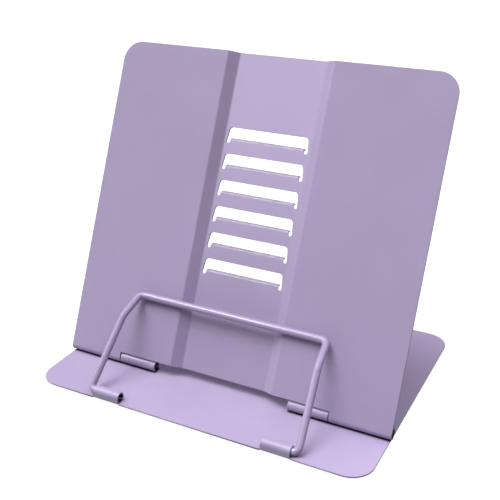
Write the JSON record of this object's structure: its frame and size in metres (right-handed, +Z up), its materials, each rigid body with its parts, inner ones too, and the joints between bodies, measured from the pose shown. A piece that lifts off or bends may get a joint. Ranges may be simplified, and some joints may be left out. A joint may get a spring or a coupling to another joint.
{
  "type": "book stand",
  "caption": "Folding sheet-metal book stand: base with a front shelf, hinged back plate with a slotted centre channel, swinging wire page holder and a hinged wire prop behind.",
  "frame": {"origin": "centre of the footprint at desk level, on the underside of the pads", "axes": "+X to the reader's right along the width, +Y to the rear, +Z up"},
  "size_m": [0.2016, 0.1532, 0.1759],
  "materials": {
    "sheet": "satin lilac powder coat",
    "rod": "satin lilac powder coat, a little smoother than the sheet's",
    "pin": "plain drawn steel",
    "pad": "matt black rubber"
  },
  "bodies": {
    "base": {"base_plate": "sheet", "hinge_pin_left": "pin", "hinge_pin_right": "pin", "foot_front_left": "pad", "foot_front_right": "pad", "foot_rear_left": "pad", "foot_rear_right": "pad"},
    "back": {"back_plate": "sheet"},
    "prop": {"prop_bail": "rod"},
    "holder": {"page_holder": "rod"}
  },
  "joints": [
    {"name": "back_fold", "type": "hinge", "parent": "base", "child": "back", "pos_m": [0, -0.03882, 0.00525], "axis": [1, 0, 0], "range_deg": [-62.5, 0]},
    {"name": "prop_swing", "type": "hinge", "parent": "base", "child": "prop", "pos_m": [0, 0.03619, 0.0043], "axis": [1, 0, 0], "range_deg": [-132, 0]},
    {"name": "page_holder_swing", "type": "hinge", "parent": "base", "child": "holder", "pos_m": [0, -0.07362, 0.0043], "axis": [1, 0, 0], "range_deg": [0, 130]}
  ],
  "couplings": [
    {"joint": "prop_swing", "follows": "back_fold", "ratio": 2.1}
  ]
}
